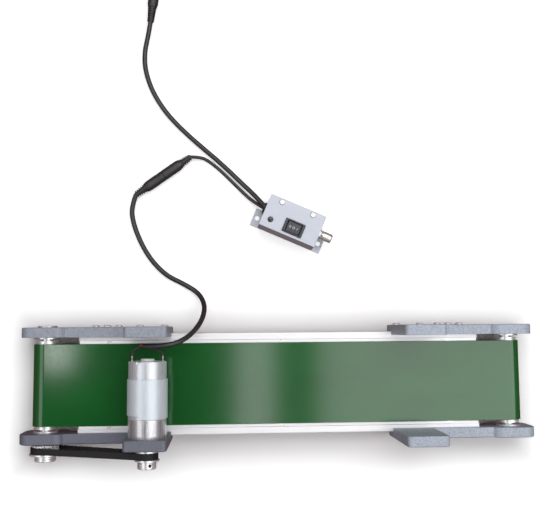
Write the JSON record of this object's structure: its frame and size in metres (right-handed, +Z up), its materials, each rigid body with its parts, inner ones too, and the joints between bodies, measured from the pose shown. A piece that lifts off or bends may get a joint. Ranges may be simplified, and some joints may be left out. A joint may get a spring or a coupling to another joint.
{
  "type": "belt conveyor section",
  "caption": "Bench belt conveyor: slotted frame, flat belt on end rollers, cross-mounted gear motor with open timing drive, in-line speed control.",
  "frame": {"origin": "on the floor under the middle of the conveyor, leads and controller left out", "axes": "+X along the belt from the drive roller to the idler roller, +Y to the rear, away from the timing drive, +Z up"},
  "size_m": [0.511, 0.4992, 0.0945],
  "materials": {
    "extruded_aluminium": "brushed, clear anodised",
    "sheet_aluminium": "smooth mill finish",
    "bracket_nylon": "fine speckled, printed",
    "belt_pvc": "glossy, smooth carrying side",
    "timing_rubber": "matt",
    "bearing_steel": "ground",
    "roller_metal": "turned",
    "fastener_steel": "bright zinc",
    "fastener_black": "black oxide",
    "motor_steel": "bright zinc plate",
    "flux_steel": "satin zinc",
    "gearbox_steel": "turned, bright",
    "motor_plastic": "moulded",
    "brass_parts": "bright",
    "magnet": "sintered",
    "carbon": "pressed carbon",
    "lamination": "stamped",
    "copper": "enamelled wire",
    "gear_steel": "cut",
    "pulley_aluminium": "turned",
    "cable_black": "satin",
    "wire_insulation": "satin",
    "connector_plastic": "moulded",
    "box_paint": "powder coat",
    "board": "solder mask",
    "switch_plastic": "moulded",
    "led_lens": "clear tinted",
    "knob_metal": "bright"
  },
  "bodies": {
    "frame": {"rail_front": "extruded_aluminium", "rail_rear": "extruded_aluminium", "deck_plate": "sheet_aluminium", "cross_bars": "extruded_aluminium", "deck_screws": "fastener_steel", "slot_nuts": "fastener_steel", "drive_bracket_front": "bracket_nylon", "drive_bracket_rear": "bracket_nylon", "idler_bracket_front": "bracket_nylon", "idler_bracket_rear": "bracket_nylon", "bracket_bolts": "fastener_steel", "bearing_outer_rings": "bearing_steel", "conveyor_belt": "belt_pvc", "timing_belt": "timing_rubber", "motor_can": "motor_steel", "motor_flux_ring": "flux_steel", "motor_end_cap": "motor_plastic", "motor_terminals": "brass_parts", "motor_magnets": "magnet", "motor_brushes": "carbon", "gearbox_ring_gear": "gearbox_steel", "gearbox_cover": "gearbox_steel", "motor_screws": "fastener_steel", "motor_wires": "wire_insulation", "motor_lead_sleeve": "wire_insulation", "motor_lead": "cable_black", "lead_plug": "connector_plastic", "lead_socket": "connector_plastic", "controller_lead": "cable_black", "power_lead": "cable_black", "power_socket": "connector_plastic", "controller_base": "box_paint", "controller_cover": "box_paint", "controller_screws": "fastener_steel", "controller_board": "board", "switch_body": "switch_plastic", "controller_led": "led_lens", "potentiometer": "knob_metal", "cable_grommet": "connector_plastic"},
    "drive_roller": {"drive_roller": "roller_metal", "drive_bearing_inner_rings": "bearing_steel", "roller_pulley": "pulley_aluminium", "roller_pulley_set_screws": "fastener_black", "drive_axle_screw": "fastener_steel"},
    "idler_roller": {"idler_roller": "roller_metal", "idler_bearing_inner_rings": "bearing_steel", "idler_axle_screws": "fastener_steel"},
    "motor_output": {"output_shaft_and_carrier": "gear_steel", "motor_pulley": "pulley_aluminium", "motor_pulley_set_screws": "fastener_black"},
    "rotor": {"rotor_core": "lamination", "rotor_windings": "copper", "rotor_commutator": "copper", "motor_shaft": "gear_steel", "sun_gear": "gear_steel"},
    "planet_a": {"planet_gear_a": "gear_steel"},
    "planet_b": {"planet_gear_b": "gear_steel"},
    "planet_c": {"planet_gear_c": "gear_steel"},
    "rocker": {"switch_rocker": "switch_plastic"},
    "knob": {"speed_knob": "knob_metal"}
  },
  "joints": [
    {"name": "drive_roller_spin", "type": "hinge", "parent": "frame", "child": "drive_roller", "pos_m": [-0.233, 0.0085, 0.0215], "axis": [0, 1, 0], "continuous": true},
    {"name": "idler_roller_spin", "type": "hinge", "parent": "frame", "child": "idler_roller", "pos_m": [0.233, 0.0085, 0.0215], "axis": [0, 1, 0], "continuous": true},
    {"name": "motor_output_spin", "type": "hinge", "parent": "frame", "child": "motor_output", "pos_m": [-0.12898, 0.0085, 0.068], "axis": [0, 1, 0], "continuous": true},
    {"name": "rotor_spin", "type": "hinge", "parent": "frame", "child": "rotor", "pos_m": [-0.12898, 0.0085, 0.068], "axis": [0, 1, 0], "continuous": true},
    {"name": "planet_a_spin", "type": "hinge", "parent": "motor_output", "child": "planet_a", "pos_m": [-0.12898, 0.0085, 0.07745], "axis": [0, 1, 0], "continuous": true},
    {"name": "planet_b_spin", "type": "hinge", "parent": "motor_output", "child": "planet_b", "pos_m": [-0.13717, 0.0085, 0.06327], "axis": [0, 1, 0], "continuous": true},
    {"name": "planet_c_spin", "type": "hinge", "parent": "motor_output", "child": "planet_c", "pos_m": [-0.1208, 0.0085, 0.06327], "axis": [0, 1, 0], "continuous": true},
    {"name": "switch_rock", "type": "hinge", "parent": "frame", "child": "rocker", "pos_m": [0.01386, 0.16381, 0.0328], "axis": [0.3923, 0.9198, 0], "range_deg": [-10, 10]},
    {"name": "knob_turn", "type": "hinge", "parent": "frame", "child": "knob", "pos_m": [0.0132, 0.1717, 0.017], "axis": [0.9198, -0.3923, 0], "range_deg": [-140, 140]}
  ],
  "couplings": [
    {"joint": "idler_roller_spin", "follows": "drive_roller_spin", "ratio": 1},
    {"joint": "motor_output_spin", "follows": "drive_roller_spin", "ratio": 1.4},
    {"joint": "rotor_spin", "follows": "drive_roller_spin", "ratio": 6.3},
    {"joint": "planet_a_spin", "follows": "drive_roller_spin", "ratio": -3.92},
    {"joint": "planet_b_spin", "follows": "drive_roller_spin", "ratio": -3.92},
    {"joint": "planet_c_spin", "follows": "drive_roller_spin", "ratio": -3.92}
  ]
}
